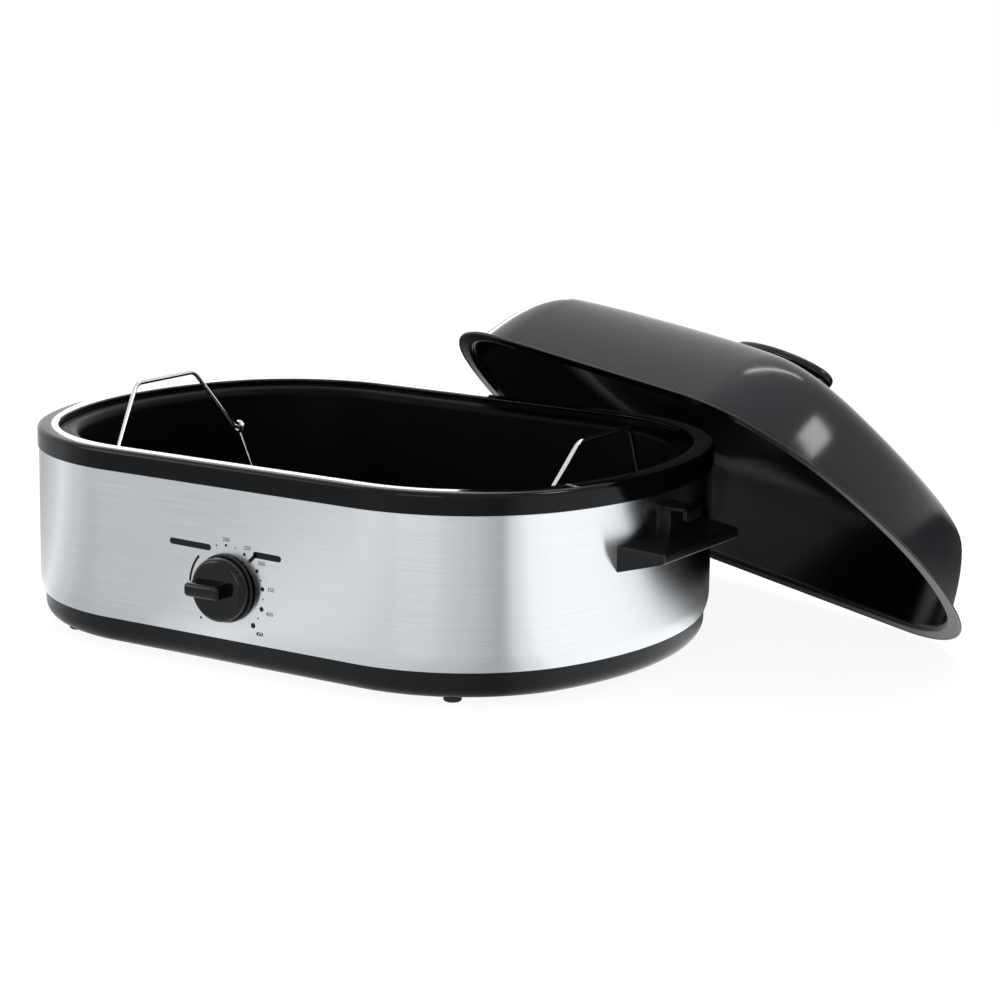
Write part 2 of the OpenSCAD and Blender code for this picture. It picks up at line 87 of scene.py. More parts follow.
# Points of a circle's arc: centre plus radius times (cos, sin) of even steps from start to end, in degrees.
def arc(centre, radius, start, end, count=7):
    turn = np.radians(np.linspace(start, end, count))
    return np.c_[centre[0] + radius * np.cos(turn), centre[1] + radius * np.sin(turn)]


# A surface from a grid of points, rows first. Faces run (row, column), (row, column + 1), so rows that
# climb the outside of an anticlockwise outline face outwards. Doubled points at poles are merged.
def gridMesh(name, points, closeRows=False, closeColumns=True, sharp=40):
    mergeReach = 0.002 * mm
    rows, columns = points.shape[:2]
    r = np.arange(rows if closeRows else rows - 1)
    c = np.arange(columns if closeColumns else columns - 1)
    r0, c0 = np.meshgrid(r, c, indexing="ij")
    r1, c1 = (r0 + 1) % rows, (c0 + 1) % columns
    corners = [r0 * columns + c0, r0 * columns + c1, r1 * columns + c1, r1 * columns + c0]
    quads = np.stack(corners, -1).reshape(-1, 4)
    flat = points.reshape(-1, 3)
    keys = np.round(flat / mergeReach).astype(np.int64)
    _, first, back = np.unique(keys, axis=0, return_index=True, return_inverse=True)
    quads = back.reshape(-1)[quads]
    whole = (quads != np.roll(quads, 1, axis=1)).all(axis=1)
    faces = quads[whole].tolist()
    for quad in quads[~whole].tolist():
        distinct = list(dict.fromkeys(quad))
        if len(distinct) == 3:
            faces.append(distinct)
    mesh = bpy.data.meshes.new(name)
    mesh.from_pydata(flat[first].tolist(), [], faces)
    mesh.polygons.foreach_set("use_smooth", np.ones(len(mesh.polygons), bool))
    mesh.set_sharp_from_angle(angle=np.radians(sharp))
    mesh.update()
    return linked(name, mesh)


# Puts a mesh, curve, lamp or camera into the scene as an object at the origin.
def linked(name, data):
    piece = bpy.data.objects.new(name, data)
    bpy.context.scene.collection.objects.link(piece)
    return piece


# A profile of (inset, height, draw) carried round the plan: the outline point less inset times its normal,
# at that height, then drawn by that share towards the long middle line.
def wrapRound(profile):
    inset, height, draw = profile.T[:, :, None]
    x = plan[:, 0] - inset * plan[:, 2]
    y = plan[:, 1] - inset * plan[:, 3]
    x = x * (1 - oven["drawLong"] * draw)
    y = y * (1 - draw)
    return np.stack([x, y, height + 0 * x], -1)


# Rows of (inset, height) with one share of draw added to them all.
def asProfile(points, draw=0):
    points = np.asarray(points, float).reshape(-1, 2)
    return np.c_[points, np.full(len(points), draw)]


# A profile of (radius, depth) turned about a level axis that faces the front: x and z go round it, and
# depth runs along Y.
def lathe(profile, axisX, axisZ, steps=96):
    turn = np.linspace(0, 2 * np.pi, steps, endpoint=False)
    radius, depth = profile.T[:, :, None]
    x = axisX + radius * np.cos(turn)
    z = axisZ + radius * np.sin(turn)
    return np.stack([x, depth + 0 * x, z], -1)


# A box with round edges: a sphere of the rounding's radius whose eight parts are pushed out to the corners.
# Its two poles are closed by flat caps that the sphere's end rows already outline.
def softBox(name, centre, size, rounding, steps=12):
    across = np.linspace(0, 2 * np.pi, 4 * steps, endpoint=False) + np.pi / (4 * steps)
    up = np.linspace(-np.pi / 2, np.pi / 2, 2 * steps)
    across, up = np.meshgrid(across, up)
    normal = np.stack([np.cos(across) * np.cos(up), np.sin(across) * np.cos(up), np.sin(up)], -1)
    side = np.stack([np.sign(np.cos(across)), np.sign(np.sin(across)), np.sign(up)], -1)
    centre, size = np.asarray(centre), np.asarray(size)
    points = centre + rounding * normal + (size / 2 - rounding) * side
    rise = np.array([0, 0, size[2] / 2])
    low = np.broadcast_to(centre - rise, points[:1].shape)
    high = np.broadcast_to(centre + rise, points[:1].shape)
    return gridMesh(name, np.concatenate([low, points, high]))


# A round wire along a flat path: a circle in the plane of the path's side normal and the plane's own normal.
def tube(path, binormal, radius, sides=16):
    along = np.gradient(path, axis=0)
    along /= np.linalg.norm(along, axis=1)[:, None]
    sideways = np.cross(binormal, along)
    turn = np.linspace(0, 2 * np.pi, sides, endpoint=False)[None, :, None]
    ring = np.cos(turn) * sideways[:, None] + np.sin(turn) * np.asarray(binormal)[None, None]
    body = path[:, None] + radius * ring
    start = np.broadcast_to(path[:1, None], body[:1].shape)
    end = np.broadcast_to(path[-1:, None], body[:1].shape)
    return np.concatenate([start, body, end])


# Straight runs between corners, each inner corner replaced by a curve that starts and ends the rounding's
# length from it.
def bentPath(corners, rounding, steps=9):
    corners = np.asarray(corners, float)
    share = np.linspace(0, 1, steps)[:, None]
    runs = [corners[:1]]
    for before, corner, after in zip(corners[:-2], corners[1:-1], corners[2:]):
        start = corner + (before - corner) / np.linalg.norm(before - corner) * rounding
        end = corner + (after - corner) / np.linalg.norm(after - corner) * rounding
        runs.append((1 - share) ** 2 * start + 2 * share * (1 - share) * corner + share ** 2 * end)
    runs.append(corners[-1:])
    return np.vstack(runs)


# Gives a piece its material and the body it rides on, and hides the nodes that it stands in for.
def dress(piece, body, material, slot, *nodes):
    if material:
        piece.data.materials.append(material)
    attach(piece, body)
    if nodes:
        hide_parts(*nodes)
    return piece


# A fine grain over the piece, drawn out along its axes where a stretch is given.
def noise(tree, place, scale, stretch=None):
    grain = tree.nodes.new("ShaderNodeTexNoise")
    grain.inputs["Scale"].default_value = scale
    grain.inputs["Detail"].default_value = 3
    if stretch:
        pull = tree.nodes.new("ShaderNodeMapping")
        pull.inputs["Scale"].default_value = stretch
        tree.links.new(place, pull.inputs["Vector"])
        place = pull.outputs["Vector"]
    tree.links.new(place, grain.inputs["Vector"])
    return grain.outputs["Fac"]


grainSpan = (0.3, 0.7)          # the noise spends nearly all of its time between these


# A number that runs from low to high as the grain does.
def between(tree, grain, low, high):
    reach = tree.nodes.new("ShaderNodeMapRange")
    reach.inputs["From Min"].default_value = grainSpan[0]
    reach.inputs["From Max"].default_value = grainSpan[1]
    reach.inputs["To Min"].default_value = low
    reach.inputs["To Max"].default_value = high
    tree.links.new(grain, reach.inputs["Value"])
    return reach.outputs["Result"]


# A colour that runs from dark to light as the grain does.
def twoTone(tree, grain, dark, light):
    tone = tree.nodes.new("ShaderNodeValToRGB")
    for stop, position, colour in zip(tone.color_ramp.elements, grainSpan, (dark, light)):
        stop.position = position
        stop.color = (*colour, 1)
    tree.links.new(grain, tone.inputs["Fac"])
    return tone.outputs["Color"]


# One of the oven's finishes: two close tones and a small range of roughness over a fine grain.
def finish(name, dark, light, rough, metallic=0, grainScale=40, bump=0, bumpScale=900, stretch=None,
           specular=0.5):
    material = bpy.data.materials.new(name)
    material.use_nodes = True
    tree = material.node_tree
    shader = tree.nodes["Principled BSDF"]
    place = tree.nodes.new("ShaderNodeTexCoord").outputs["Object"]
    grain = noise(tree, place, grainScale, stretch)
    tree.links.new(twoTone(tree, grain, dark, light), shader.inputs["Base Color"])
    tree.links.new(between(tree, grain, *rough), shader.inputs["Roughness"])
    shader.inputs["Metallic"].default_value = metallic
    shader.inputs["Specular IOR Level"].default_value = specular
    if bump:
        relief = tree.nodes.new("ShaderNodeBump")
        relief.inputs["Strength"].default_value = bump
        relief.inputs["Distance"].default_value = 0.1 * mm
        tree.links.new(noise(tree, place, bumpScale, stretch), relief.inputs["Height"])
        tree.links.new(relief.outputs["Normal"], shader.inputs["Normal"])
    return material


# Steel brushed along the band, so that reflections smear upwards.
def brushedWrap():
    material = finish("brushedWrap", (0.62, 0.63, 0.645), (0.66, 0.67, 0.685), (0.17, 0.21), metallic=1,
                      grainScale=1, bump=0.04, bumpScale=1, stretch=(14, 14, 1800))
    tree = material.node_tree
    shader = tree.nodes["Principled BSDF"]
    shader.inputs["Anisotropic"].default_value = 0.9
    shader.inputs["Anisotropic Rotation"].default_value = 0.25
    aroundOven = tree.nodes.new("ShaderNodeTangent")
    aroundOven.direction_type = "RADIAL"
    aroundOven.axis = "Z"
    tree.links.new(aroundOven.outputs["Tangent"], shader.inputs["Tangent"])
    return material


# dark tone, light tone and the range of roughness come first in each
finishes = {
    "brushed_band": brushedWrap(),
    "rim_enamel": finish("rimEnamel", (0.002, 0.0021, 0.0023), (0.003, 0.0031, 0.0033), (0.07, 0.1),
                         specular=0.16),
    "base_plastic": finish("basePlastic", (0.005, 0.0052, 0.0056), (0.0065, 0.0068, 0.0072), (0.24, 0.3),
                           bump=0.06, specular=0.2),
    "zinc_plate": finish("zincPlate", (0.42, 0.43, 0.44), (0.56, 0.57, 0.58), (0.35, 0.5), metallic=1,
                         grainScale=90),
    "rubber": finish("rubberFoot", (0.012, 0.012, 0.012), (0.022, 0.022, 0.022), (0.6, 0.75), grainScale=300),
    "screw_steel": finish("screwSteel", (0.5, 0.5, 0.51), (0.62, 0.62, 0.63), (0.25, 0.35), metallic=1),
    "heater_mica": finish("heaterMica", (0.26, 0.24, 0.19), (0.36, 0.34, 0.28), (0.6, 0.75)),
    "ceramic_block": finish("ceramicBlock", (0.68, 0.65, 0.58), (0.76, 0.73, 0.66), (0.3, 0.4)),
    "glass_wool": finish("glassWool", (0.55, 0.48, 0.22), (0.72, 0.65, 0.38), (0.85, 0.95), grainScale=120,
                         bump=0.8),
    "thermostat_body": finish("thermostatBody", (0.11, 0.09, 0.06), (0.16, 0.13, 0.09), (0.4, 0.5)),
    "copper": finish("copperBulb", (0.55, 0.27, 0.14), (0.68, 0.36, 0.2), (0.3, 0.4), metallic=1),
    "lead_sleeve": finish("leadSleeve", (0.5, 0.47, 0.4), (0.62, 0.59, 0.52), (0.7, 0.85), grainScale=700,
                          bump=0.5),
    "handle_plastic": finish("handlePlastic", (0.004, 0.0042, 0.0045), (0.0055, 0.0057, 0.006), (0.26, 0.34),
                             bump=0.08, specular=0.25),
    "knob_plastic": finish("knobPlastic", (0.0025, 0.0026, 0.0028), (0.0035, 0.0036, 0.0038), (0.07, 0.1),
                           specular=0.25),
    "pan_enamel": finish("panEnamel", (0.0006, 0.0006, 0.0006), (0.0008, 0.0008, 0.0008), (0.4, 0.45),
                         specular=0.05),
    "chrome_wire": finish("chromeWire", (0.62, 0.62, 0.63), (0.7, 0.7, 0.71), (0.1, 0.18), metallic=1,
                          grainScale=150),
    "lid_enamel": finish("lidEnamel", (0.0145, 0.0158, 0.0192), (0.017, 0.0185, 0.0222), (0.14, 0.16),
                         grainScale=12, specular=0.27),
}
dialPrint = finish("dialPrint", (0.004, 0.004, 0.0045), (0.006, 0.006, 0.0065), (0.4, 0.5), specular=0.2)
# the lid's underside: a much darker copy of the lid's enamel, painted shade for the inside of the dome
lidShadedUnderside = finish("lidShadedUnderside", (0.0015, 0.0016, 0.0018), (0.002, 0.0021, 0.0023), (0.16, 0.2), specular=0.18)
print("materials made:", len(finishes) + 2)

# every solid of the frame takes its slot's finish, also where nothing stands in for it
for part in frame["record"]["subparts"]:
    node = frame["nodes"][part["node"]]
    for index in range(len(node.material_slots)):
        node.material_slots[index].material = finishes[part["material_slot"]]


band = {"inset": 1 * mm, "sheet": 0.8 * mm, "curl": 14 * mm, "curlIn": 2.8 * mm}


# Up the outside from the curled foot, over the top edge and down the inside. The curl's inset is a square
# law of the distance below its start.
def steelBand():
    rise = np.linspace(0, 1, 9)
    footInset = band["inset"] + band["curlIn"] * (1 - rise) ** 2
    foot = np.c_[footInset, oven["bandBottom"] + band["curl"] * rise]
    outside = np.vstack([foot, [[band["inset"], oven["bandTop"]]]])
    inside = outside[::-1] + [band["sheet"], 0]
    return gridMesh("steelBand", wrapRound(asProfile(np.vstack([outside, inside]))), closeRows=True)


dress(steelBand(), "body", finishes["brushed_band"], "brushed_band", "steel_band")


rim = {
    "width": 17.5 * mm, "wall": 2.4 * mm,
    "outerRound": 3.5 * mm, "innerRound": 1.3 * mm, "lowBevel": 0.5 * mm,
    "ledge": 26.5 * mm, "ledgeTop": 157.6 * mm, "ledgeSheet": 2.2 * mm,
    "tongue": 3.5 * mm, "tongueOut": 2.2 * mm, "tongueIn": 4.2 * mm,     # it reaches down behind the band
}


# The fascia and flat top of the rim in one moulding: outside up, a round shoulder, the flat top, a round
# inner edge, the step that carries the pan, and back underneath.
def topRim():
    top, low, width = oven["rimTop"], oven["bandTop"], rim["width"]
    underTop, underLedge = top - rim["wall"], rim["ledgeTop"] - rim["ledgeSheet"]
    shoulder = arc((-rim["outerRound"], top - rim["outerRound"]), rim["outerRound"], 0, 90, 9)
    innerEdge = arc((-width + rim["innerRound"], top - rim["innerRound"]), rim["innerRound"], 90, 180, 7)
    outline = np.vstack([
        [[-rim["lowBevel"], low], [0, low + rim["lowBevel"]]], shoulder, innerEdge,
        [[-width, rim["ledgeTop"]], [-rim["ledge"], rim["ledgeTop"]], [-rim["ledge"], underLedge],
         [-width + rim["wall"], underLedge], [-width + rim["wall"], underTop], [-rim["tongueIn"], underTop],
         [-rim["tongueIn"], low - rim["tongue"]], [-rim["tongueOut"], low - rim["tongue"]],
         [-rim["tongueOut"], low]],
    ])
    return gridMesh("topRim", wrapRound(asProfile(outline * [-1, 1])), closeRows=True)


dress(topRim(), "body", finishes["rim_enamel"], "rim_enamel", "top_rim")


skirt = {"inset": 5 * mm, "wall": 2.5 * mm, "bottom": 5 * mm, "round": 13 * mm, "flange": 42 * mm,
         "tongue": 4 * mm, "step": 0.4 * mm}


# The black base: under the flange, round the lower edge, up the wall to the band, and back inside.
def baseSkirt():
    low, turn, wall = skirt["bottom"], skirt["round"], skirt["inset"]
    middle = (-wall - turn, low + turn)
    top = oven["bandBottom"]
    outside = arc(middle, turn, -90, 0, 13)
    inside = arc(middle, turn - skirt["wall"], 0, -90, 9)
    outline = np.vstack([
        [[-skirt["flange"], low]], outside,
        [[-wall, top], [-wall - skirt["step"], top], [-wall - skirt["step"], top + skirt["tongue"]],
         [-wall - skirt["wall"], top + skirt["tongue"]]],
        inside, [[-skirt["flange"], low + skirt["wall"]]],
    ])
    return gridMesh("baseSkirt", wrapRound(asProfile(outline * [-1, 1])), closeRows=True)


dress(baseSkirt(), "body", finishes["base_plastic"], "base_plastic", "base_skirt")
print("housing made")


pan = {"lip": 18.3 * mm, "mouth": 34 * mm, "mouthRound": 7 * mm, "foot": 40 * mm, "footRound": 20 * mm,
       "floor": 30 * mm, "sheet": 1.2 * mm, "floorRings": 12}


# A pressed sheet: from the middle underneath, out and up the outside, round the lip, down the inside and
# back to the middle of the floor.
def cookingPan():
    footInset, rings = pan["foot"] + pan["footRound"], pan["floorRings"]
    footMiddle = (-footInset, pan["floor"] + pan["footRound"])
    mouthMiddle = (pan["mouthRound"] - pan["mouth"], oven["lipTop"] - pan["mouthRound"])
    draws = np.linspace(1, 0, rings)[:, None]
    under = np.hstack([np.broadcast_to([footInset, pan["floor"] - pan["sheet"]], (rings, 2)), draws])
    wall = np.vstack([
        arc(footMiddle, pan["footRound"] + pan["sheet"], -90, 0, 13),
        arc(mouthMiddle, pan["mouthRound"] - pan["sheet"], 180, 90, 9),
        [[-pan["lip"], oven["lipTop"] - pan["sheet"]]],
        [[-pan["lip"], oven["lipTop"]]],
        arc(mouthMiddle, pan["mouthRound"], 90, 180, 9),
        arc(footMiddle, pan["footRound"], 0, -90, 13),
    ]) * [-1, 1]
    floor = np.hstack([np.broadcast_to([footInset, pan["floor"]], (rings, 2)), draws[::-1]])
    return gridMesh("cookingPan", wrapRound(np.vstack([under[:-1], asProfile(wall), floor[1:]])))


dress(cookingPan(), "pan", finishes["pan_enamel"], "pan_enamel", "cooking_pan")
print("pan made")


bail = {"hingeX": 207 * mm, "hingeZ": 130 * mm, "footY": 81 * mm, "toeY": 92 * mm, "topY": 39 * mm,
        "topZ": 184 * mm, "lean": 12 * mm, "wire": 1.9 * mm, "bend": 6 * mm}


# A wire bent in one leaning plane: a toe in each eye, two sloping legs and a level top bar.
def rackBail(name, side):
    up = np.array([side * bail["lean"], 0, bail["topZ"] - bail["hingeZ"]])
    hinge = np.array([side * bail["hingeX"], 0, bail["hingeZ"]])
    across = np.array([0, 1, 0])
    half = [hinge + across * bail["toeY"], hinge + across * bail["footY"], hinge + up + across * bail["topY"]]
    corners = np.array(half + [p * [1, -1, 1] for p in half[::-1]])
    binormal = np.cross(across, up / np.linalg.norm(up))
    return gridMesh(name, tube(bentPath(corners, bail["bend"]), binormal, bail["wire"]), sharp=60)


for side, word in ((1, "right"), (-1, "left")):
    dress(rackBail("bail" + word.capitalize(), side), "bail_" + word, finishes["chrome_wire"], "chrome_wire",
          "rack_bail_" + word)
print("bails made")


handle = {
    "tipX": 308 * mm, "tipY": 60.5 * mm, "rootY": 67 * mm, "rootIn": 1.5 * mm, "cornerRound": 4 * mm,
    "cornerSteps": 11, "wall": 4 * mm, "edge": 1.4 * mm, "footRound": 0.6 * mm,
    "topInset": 0.4 * mm, "pocketInset": 0.3 * mm,
    "tuck": 1 * mm,                                                    # the root goes this far into the band
    "topX": 255 * mm, "topZ": 116 * mm, "topFall": 5 / 51,             # the top slopes down towards the tip
    "footX": 273 * mm, "footZ": 93.2 * mm, "footRise": 9.4 / 33,       # and the wall's foot slopes up
}


# The band's outer face at the bowed end, as a circle about the end's centre.
def bandX(y):
    return endX + np.sqrt((endRadius - band["inset"]) ** 2 - y ** 2)


# Round the handle from one root to the other: two slanting ends and the long outer edge, joined by small
# curves, with outward normals from the path's own direction.
def handlePlan():
    rootX, rootY = bandX(handle["rootY"]) - handle["rootIn"], handle["rootY"]
    tipX, tipY = handle["tipX"], handle["tipY"]
    corners = [[rootX, -rootY, 0], [tipX, -tipY, 0], [tipX, tipY, 0], [rootX, rootY, 0]]
    steps = handle["cornerSteps"]
    path = bentPath(corners, handle["cornerRound"], steps)[:, :2]
    edgeStart, edgeEnd = path[steps], path[steps + 1]
    edge = edgeStart + np.linspace(0, 1, 25)[1:-1, None] * (edgeEnd - edgeStart)
    path = np.vstack([path[:steps + 1], edge, path[steps + 1:]])
    along = np.gradient(path, axis=0)
    along /= np.linalg.norm(along, axis=1)[:, None]
    return path, np.c_[along[:, 1], -along[:, 0]]


# A tray turned upside down: from the band over the sloping top to the edge, down the wall, round its foot
# and up into the finger pocket. The wall grows from the tip to the band.
def sideHandle(name, side):
    path, normal = handlePlan()
    edge, wall = handle["edge"], handle["wall"]
    rows = []

    def place(inset, reach):
        spot = path - inset * normal
        root = bandX(spot[:, 1]) - handle["tuck"]
        return np.maximum(spot[:, 0] + (root - spot[:, 0]) * reach, root), spot[:, 1]

    def topAt(x):
        return handle["topZ"] - (x - handle["topX"]) * handle["topFall"]

    def footAt(x):
        return handle["footZ"] + np.maximum(x - handle["footX"], 0) * handle["footRise"]

    for reach in np.linspace(1, 0, 8):
        x, y = place(edge + handle["topInset"], reach)
        rows.append(np.c_[x, y, topAt(x)])
    for turn in np.radians(np.linspace(75, 0, 6)):
        x, y = place(edge * (1 - np.cos(turn)), 0)
        rows.append(np.c_[x, y, topAt(x) - edge * (1 - np.sin(turn))])
    for turn in np.radians(np.linspace(0, 90, 6)):
        x, y = place(edge * (1 - np.cos(turn)), 0)
        rows.append(np.c_[x, y, footAt(x) + edge * (1 - np.sin(turn))])
    for inset, lift in ((wall - handle["footRound"], 0), (wall, handle["footRound"])):
        x, y = place(inset, 0)
        rows.append(np.c_[x, y, footAt(x) + lift])
    for reach in np.linspace(0, 1, 6):
        x, y = place(wall + handle["pocketInset"], reach)
        rows.append(np.c_[x, y, topAt(x) - wall])
    points = np.array(rows)[::-1]
    if side < 0:
        points = points[::-1] * [-1, 1, 1]
    return gridMesh(name, points, closeColumns=False)


# middle of each box as (distance from the oven's middle, height), then its size
hook = {
    "Post": {"at": (281.5 * mm, 124 * mm), "size": (7 * mm, 22 * mm, 24 * mm), "rounding": 0.8 * mm},
    "Plate": {"at": (289.5 * mm, 135.4 * mm), "size": (21 * mm, 26 * mm, 3.2 * mm), "rounding": 0.9 * mm},
    "Lip": {"at": (298.4 * mm, 132 * mm), "size": (3.2 * mm, 26 * mm, 10 * mm), "rounding": 0.9 * mm},
}

# above each handle, the bracket that the lid's edge hangs on: a post, a flat top and a turned-down lip
for side, word in ((1, "right"), (-1, "left")):
    dress(sideHandle(word + "Handle", side), "body", finishes["handle_plastic"], "handle_plastic",
          word + "_handle")
    for part, box in hook.items():
        centre = (side * box["at"][0], 0, box["at"][1])
        dress(softBox(word + "Hook" + part, centre, box["size"], box["rounding"]), "body",
              finishes["handle_plastic"], "handle_plastic")
print("handles made")


knob = {
    "x": 2 * mm, "z": 69 * mm, "back": 201.2 * mm, "radius": 25 * mm, "disc": 12 * mm, "discBack": 1.4 * mm,
    "shoulder": 4 * mm, "draft": 0.3 * mm, "dish": 0.4 * mm,
    "ringIn": 6 * mm, "ringDish": 0.25 * mm,                 # where the face's dish is steepest
    "skirt": 26.8 * mm, "skirtThick": 2 * mm, "skirtBevel": 1 * mm,
    "barFront": 223.3 * mm, "barLeft": 24 * mm, "barRight": 9 * mm, "barHeight": 11 * mm,
    "barRound": 3.6 * mm, "barSunk": 3 * mm,
}


# A disc turned about the shaft: straight side, wide round shoulder and a faintly dished face.
def knobDial():
    back, front = knob["back"] + knob["discBack"], knob["back"] + knob["disc"]
    radius, turn = knob["radius"], knob["shoulder"]
    shoulder = arc((radius - turn, front - turn), turn, 0, 90, 9)
    profile = np.vstack([[[0, back], [radius - knob["draft"], back]], shoulder,
                         [[radius - knob["ringIn"], front - knob["ringDish"]], [0, front - knob["dish"]]]])
    return gridMesh("knobDial", lathe(profile * [1, -1], knob["x"], knob["z"]))


# A flat ring behind the disc, with its front corner cut off.
def knobSkirtRing():
    back, radius, bevel = knob["back"], knob["skirt"], knob["skirtBevel"]
    front = back + knob["skirtThick"]
    profile = np.array([[0, back], [radius, back], [radius, front - bevel], [radius - bevel, front],
                        [0, front]])
    return gridMesh("knobSkirtRing", lathe(profile * [1, -1], knob["x"], knob["z"]))


# The grip: a soft bar from just past the middle out to the pointing edge, sunk into the disc.
def knobBar():
    length = knob["barLeft"] + knob["barRight"]
    deep = knob["barFront"] - knob["back"] - knob["disc"] + knob["barSunk"]
    centreX = knob["x"] + (knob["barRight"] - knob["barLeft"]) / 2
    centre = (centreX, -(knob["barFront"] - deep / 2), knob["z"])
    return softBox("knobBar", centre, (length, deep, knob["barHeight"]), knob["barRound"])


dress(knobDial(), "knob", finishes["knob_plastic"], "knob_plastic", "knob_dial")
dress(knobSkirtRing(), "knob", finishes["knob_plastic"], "knob_plastic")
dress(knobBar(), "knob", finishes["knob_plastic"], "knob_plastic")


# the printed dial: dots that grow with the heat, numbers, two plain tabs and a sweep line, with angles in
# degrees and the rest in millimetres
dial = {
    "x": 1.9, "z": 67.1, "radius": 35.4, "lift": 0.06, "numberSize": 4.6,
    "bigDots": [(90, 1.15), (60, 1.35), (33, 1.5), (9.5, 1.75), (-16.5, 1.95), (-43, 2.15)],
    "smallDots": [(105, 0.7), (75.5, 0.6), (20.5, 0.75), (-3.5, 0.65), (-30, 0.7), (-134.5, 1.0)],
    "numbers": [("200", 90, 39.8), ("250", 60.5, 41.2), ("300", 37, 42.4), ("350", 8.2, 43.2),
                ("400", -17.5, 43.6), ("450", -43.5, 43.8)],
    "tabs": [("tabLeft", (-50.8, 99.2), (-15.2, 98.7), 2.5), ("tabRight", (30.2, 98.9), (52.0, 98.5), 2.5),
             ("tabRightTail", (30.2, 98.5), (24.9, 93.4), 1.5)],
    "sweepFrom": 138, "sweepTo": 176, "sweepRadii": (34.4, 36.4),
}
bandFrontY = -(oven["halfWidth"] - band["inset"])


# A place on the face, at an angle and radius about the dial's middle.
def onDial(angle, radius):
    turn = np.radians(angle)
    return (dial["x"] + radius * np.cos(turn)) * mm, (dial["z"] + radius * np.sin(turn)) * mm


# A closed outline of (x, z) as a thin print on the band's flat front.
def printFlat(name, outline):
    ring = np.asarray(outline)[None]
    middle = np.broadcast_to(ring.mean(axis=1, keepdims=True), ring.shape)
    flat = np.concatenate([middle, ring, ring, middle])
    depth = np.array([-1.0, -1.0, 1.0, 1.0])[:, None] * dial["lift"] * mm
    points = np.stack([flat[..., 0], bandFrontY + depth + 0 * flat[..., 0], flat[..., 1]], -1)
    dress(gridMesh(name, points[::-1]), "body", dialPrint, "base_plastic")


# A round dot on the dial's own circle, at an angle.
def printedDot(name, angle, radius):
    printFlat(name, arc(onDial(angle, dial["radius"]), radius * mm, 0, 345, 24))


# A tab with round ends between two points of the face.
def printedTab(name, start, end, halfWidth):
    start, end = np.array(start) * mm, np.array(end) * mm
    turn = np.degrees(np.arctan2(end[1] - start[1], end[0] - start[0]))
    printFlat(name, np.vstack([arc(start, halfWidth * mm, turn + 90, turn + 270, 9),
                               arc(end, halfWidth * mm, turn - 90, turn + 90, 9)]))


# A number set upright with its middle on its own circle round the dial.
def printedNumber(word, angle, radius):
    letters = bpy.data.curves.new("number" + word, "FONT")
    letters.body = word
    letters.size = dial["numberSize"] * mm
    letters.align_x = "CENTER"
    letters.align_y = "CENTER"
    letters.extrude = dial["lift"] * mm
    letters.resolution_u = 3
    shape = linked("lettersTemporary", letters)
    bpy.context.view_layer.update()
    mesh = bpy.data.meshes.new_from_object(shape.evaluated_get(bpy.context.evaluated_depsgraph_get()))
    bpy.data.objects.remove(shape)
    x, z = onDial(angle, radius)
    mesh.transform(Matrix.Translation((x, bandFrontY, z)) @ Matrix.Rotation(np.pi / 2, 4, "X"))
    mesh.name = "number" + word
    mesh.materials.clear()
    dress(linked("number" + word, mesh), "body", dialPrint, "base_plastic")


# A curved line beside the dial: two arcs about its middle, joined by a flat strip.
def sweepLine():
    turns = np.linspace(dial["sweepFrom"], dial["sweepTo"], 24)
    rows = []
    for radius in dial["sweepRadii"]:
        x, z = onDial(turns, radius)
        rows.append(np.stack([x, np.full_like(x, bandFrontY - dial["lift"] * mm), z], -1))
    dress(gridMesh("sweepLine", np.stack(rows), closeColumns=False), "body", dialPrint, "base_plastic")


for index, (angle, radius) in enumerate(dial["bigDots"]):
    printedDot("heatDot%d" % index, angle, radius)
for index, (angle, radius) in enumerate(dial["smallDots"]):
    printedDot("smallDot%d" % index, angle, radius)
for word, angle, radius in dial["numbers"]:
    printedNumber(word, angle, radius)
for name, start, end, halfWidth in dial["tabs"]:
    printedTab(name, start, end, halfWidth)
sweepLine()
print("dial printed")


lid = {
    "edge": 28 * mm, "flange": 14 * mm, "sheet": 1.2 * mm, "fillet": 3 * mm, "bead": 0.9 * mm,
    "height": 91.8 * mm, "run": 158.5 * mm, "wallPower": 6, "wallRoot": 1.1,
    "crown": 91.2 * mm, "fall": 35 * mm, "blend": 14 * mm,
    "flangeStart": 1.2 * mm, "flangeEnd": 1 * mm,            # what bead and fillet take of the flat flange
    "domeFrom": 0.02, "domeTo": 0.8, "domeRows": 34, "domeCrowding": 2.2,    # rows crowd where it's steep
    "domeLow": 3.6 * mm, "crownRows": 15,                    # no row of the dome is lower than that
    "tilt": 40.8, "turn": 24.6, "spin": 4.9,                 # degrees
    "x": 222.6 * mm, "y": 153.4 * mm, "clear": 0.3 * mm,
}


# A turn about one of the three axes, as a matrix.
def turned(degrees, axis):
    return np.array(Matrix.Rotation(np.radians(degrees), 3, axis))


# Takes the lid from lying flat to where it leans: turned in its own plane, tipped back about X, turned about
# Z, then moved so that the lowest point of its edge, on the arc of a corner, clears the floor.
def leaning(points):
    way = turned(-lid["turn"], "Z") @ turned(-lid["tilt"], "X") @ turned(lid["spin"], "Z")
    spin = np.radians(lid["spin"])
    reach = cornerX * np.sin(spin) + cornerY * np.cos(spin) + cornerRadius - lid["edge"]
    height = reach * np.sin(np.radians(lid["tilt"])) + lid["clear"]
    return points @ way.T + [lid["x"], lid["y"], height]


# Sloping wall and flat crown: height times (1 - (1 - run / whole run) ^ wallPower) ^ (1 / wallRoot).
def domeHeight(run):
    return lid["height"] * (1 - (1 - run / lid["run"]) ** lid["wallPower"]) ** (1 / lid["wallRoot"])


